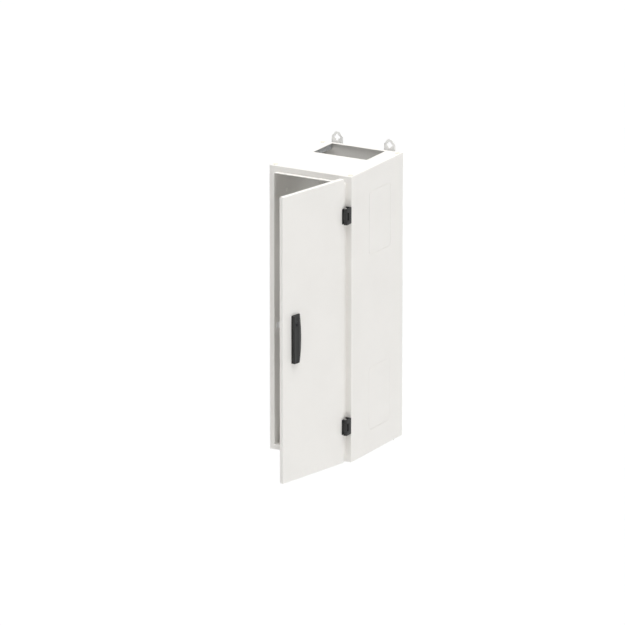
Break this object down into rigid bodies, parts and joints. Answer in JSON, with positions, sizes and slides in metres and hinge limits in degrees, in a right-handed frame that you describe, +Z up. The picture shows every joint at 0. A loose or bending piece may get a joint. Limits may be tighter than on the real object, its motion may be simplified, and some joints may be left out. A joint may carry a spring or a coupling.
{
  "type": "automatic transfer switch",
  "caption": "Tall wall-mounted steel cabinet with a hinged door, lever latch and open roof entry, holding a motor-driven changeover switch, controller and terminals.",
  "frame": {"origin": "on the wall plane, at the centre of the four wall-lug holes", "axes": "+X to the right seen from the front, +Y back into the wall, +Z up"},
  "size_m": [0.3, 0.6512, 1.012],
  "materials": {
    "white_coat": "fine texture powder coat",
    "lug_coat": "grey powder coat",
    "cap_plastic": "satin moulded",
    "black_plastic": "fine grain moulded",
    "switch_plastic": "fine grain moulded",
    "grey_plastic": "satin moulded",
    "light_plastic": "satin moulded",
    "galvanised": "galvanised",
    "zinc_steel": "zinc plated",
    "lock_metal": "satin nickel",
    "copper": "bright rolled copper",
    "motor_metal": "satin",
    "window": "tinted",
    "lamps": "moulded lens",
    "gasket_foam": "foamed in place",
    "button_red": "satin",
    "button_green": "satin",
    "button_grey": "satin"
  },
  "bodies": {
    "cabinet": {"side_panel_left": "white_coat", "side_panel_right": "white_coat", "back_panel": "white_coat", "roof_panel": "white_coat", "roof_caps": "cap_plastic", "floor_panel": "white_coat", "gland_plate": "white_coat", "front_frame": "white_coat", "wall_lugs": "lug_coat", "lug_bolts": "zinc_steel", "entry_rails": "galvanised", "hinge_frame_parts": "black_plastic", "hinge_screws": "zinc_steel", "hinge_pins": "zinc_steel", "latch_keeper": "zinc_steel", "mounting_plate": "galvanised", "plate_studs": "galvanised", "plate_nuts": "galvanised", "din_rails": "galvanised", "cable_ducts": "grey_plastic", "switch_base": "switch_plastic", "switch_cover": "switch_plastic", "m5_screws": "zinc_steel", "supply_one_contacts": "copper", "supply_two_contacts": "copper", "load_contacts": "copper", "terminal_bolts": "zinc_steel", "phase_barriers": "switch_plastic", "drive_motor": "motor_metal", "controller_body": "grey_plastic", "controller_window": "window", "status_lamps": "lamps", "control_breakers": "light_plastic", "voltage_relays": "light_plastic", "terminal_blocks": "grey_plastic", "bar_supports": "black_plastic", "neutral_and_earth_bars": "copper", "bar_screws": "zinc_steel", "earth_stud": "zinc_steel"},
    "door": {"door_panel": "white_coat", "door_gasket": "gasket_foam", "hinge_leaves": "black_plastic", "handle_base": "black_plastic", "handle_nut": "zinc_steel"},
    "lever_handle": {"lever": "black_plastic", "lever_spindle": "zinc_steel", "latch_cam": "zinc_steel"},
    "lock": {"lock_barrel": "lock_metal"},
    "rotor": {"rotor_shaft": "black_plastic", "contact_blades": "copper", "drive_gear": "zinc_steel", "manual_lever": "zinc_steel", "lever_grip": "black_plastic"},
    "pinion": {"motor_pinion": "zinc_steel"},
    "button_1": {"push_button_1": "button_green"},
    "button_2": {"push_button_2": "button_red"},
    "button_3": {"push_button_3": "button_green"},
    "button_4": {"push_button_4": "button_grey"},
    "toggle_1": {"breaker_toggle_1": "black_plastic"},
    "toggle_2": {"breaker_toggle_2": "black_plastic"}
  },
  "joints": [
    {"name": "door_hinge", "type": "hinge", "parent": "cabinet", "child": "door", "pos_m": [0.1427, -0.371, 0], "axis": [0, 0, 1], "range_deg": [-78, 52]},
    {"name": "handle_turn", "type": "hinge", "parent": "door", "child": "lever_handle", "pos_m": [0.08517, -0.60076, -0.054], "axis": [-0.9781, 0.2079, 0], "range_deg": [0, 90]},
    {"name": "lock_turn", "type": "hinge", "parent": "lever_handle", "child": "lock", "pos_m": [0.09251, -0.60232, 0.047], "axis": [-0.9781, 0.2079, 0], "range_deg": [0, 90]},
    {"name": "changeover_turn", "type": "hinge", "parent": "cabinet", "child": "rotor", "pos_m": [0, -0.1, -0.11], "axis": [1, 0, 0], "range_deg": [-25, 25]},
    {"name": "pinion_turn", "type": "hinge", "parent": "cabinet", "child": "pinion", "pos_m": [0.062, -0.1, -0.153], "axis": [1, 0, 0], "range_deg": [-83, 83]},
    {"name": "button_1_press", "type": "slide", "parent": "cabinet", "child": "button_1", "axis": [0, 1, 0], "range_m": [0, 0.0015], "stiffness_N_per_m": 600, "springref_m": -0.001},
    {"name": "button_2_press", "type": "slide", "parent": "cabinet", "child": "button_2", "axis": [0, 1, 0], "range_m": [0, 0.0015], "stiffness_N_per_m": 600, "springref_m": -0.001},
    {"name": "button_3_press", "type": "slide", "parent": "cabinet", "child": "button_3", "axis": [0, 1, 0], "range_m": [0, 0.0015], "stiffness_N_per_m": 600, "springref_m": -0.001},
    {"name": "button_4_press", "type": "slide", "parent": "cabinet", "child": "button_4", "axis": [0, 1, 0], "range_m": [0, 0.0015], "stiffness_N_per_m": 600, "springref_m": -0.001},
    {"name": "toggle_1_throw", "type": "hinge", "parent": "cabinet", "child": "toggle_1", "pos_m": [-0.076, -0.116, 0.095], "axis": [-1, 0, 0], "range_deg": [0, 90]},
    {"name": "toggle_2_throw", "type": "hinge", "parent": "cabinet", "child": "toggle_2", "pos_m": [-0.04, -0.116, 0.095], "axis": [-1, 0, 0], "range_deg": [0, 90]}
  ],
  "couplings": [
    {"joint": "pinion_turn", "follows": "changeover_turn", "ratio": -3.3}
  ]
}
